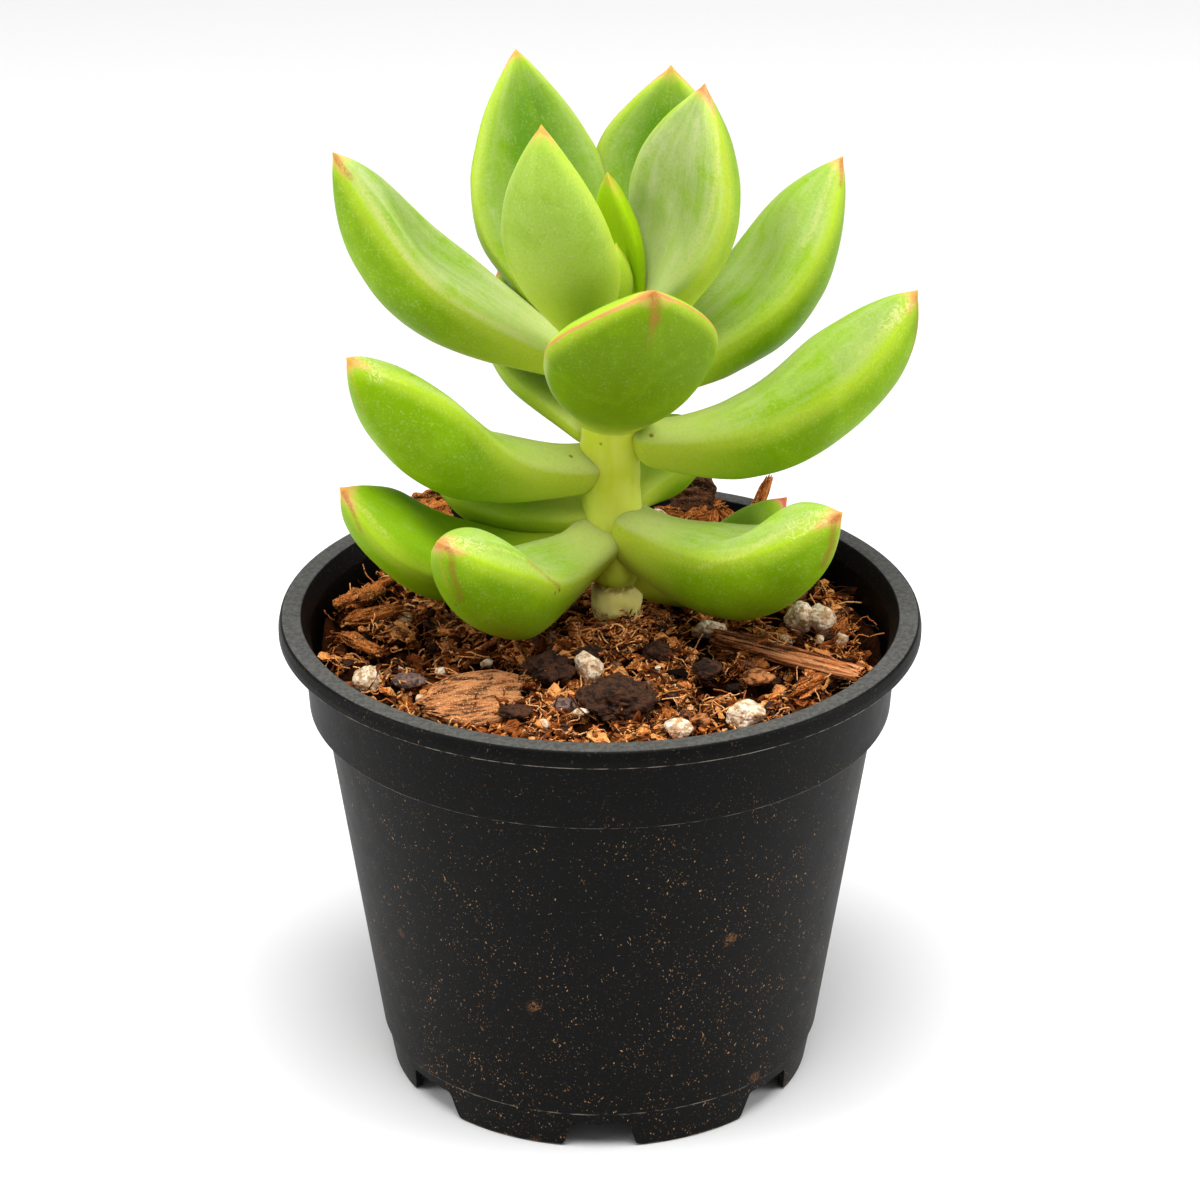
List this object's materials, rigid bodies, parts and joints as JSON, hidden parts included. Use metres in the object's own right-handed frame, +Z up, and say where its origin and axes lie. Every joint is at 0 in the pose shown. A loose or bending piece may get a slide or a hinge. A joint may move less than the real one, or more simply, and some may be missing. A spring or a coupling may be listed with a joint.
{
  "type": "potted coppertone stonecrop",
  "caption": "Young succulent with thick, pointed, boat-shaped green leaves round a short bare stem, in a round black plastic nursery pot filled with bark soil and perlite.",
  "frame": {"origin": "on the pot's axis at the height of its feet, the middle of the base", "axes": "+Z up along the pot's axis; -Y is the front of the plant as pictured; +X is to its right"},
  "size_m": [0.0906, 0.0906, 0.1466],
  "materials": {
    "pot_plastic": "matte black moulded plastic, dusted with soil",
    "soil": "coarse bark and coir crumbs",
    "stem": "waxy green stem with a corky foot",
    "leaf": "smooth waxy leaf skin",
    "bark": "rough bark",
    "dark_bark": "damp dark bark",
    "perlite": "porous, pale and matte"
  },
  "bodies": {
    "root": {"pot": "pot_plastic", "soil": "soil", "stem": "stem", "leaf_front": "leaf", "leaf_crown_front_left": "leaf", "leaf_crown_right": "leaf", "leaf_crown_left": "leaf", "leaf_crown_back": "leaf", "leaf_bud_right": "leaf", "leaf_bud_left": "leaf", "leaf_upper_left": "leaf", "leaf_upper_right": "leaf", "leaf_upper_back": "leaf", "leaf_middle_right": "leaf", "leaf_middle_back_left": "leaf", "leaf_middle_left": "leaf", "leaf_low_right": "leaf", "leaf_low_front_left": "leaf", "leaf_low_left": "leaf", "leaf_low_back_right": "leaf", "leaf_low_back_left": "leaf", "leaf_lowest_right": "leaf", "bark_chip_front": "bark", "bark_splinter_right": "bark", "bark_chip_left": "bark", "bark_chip_rear": "bark", "bark_chip_rear_left": "bark", "bark_spike_rear": "bark", "bark_nugget_centre": "dark_bark", "bark_nugget_front": "dark_bark", "perlite_centre": "perlite", "perlite_left": "perlite", "perlite_front_right": "perlite", "perlite_front": "perlite", "perlite_right_a": "perlite", "perlite_right_b": "perlite", "perlite_splinter": "perlite", "perlite_rear": "perlite"}
  },
  "joints": []
}
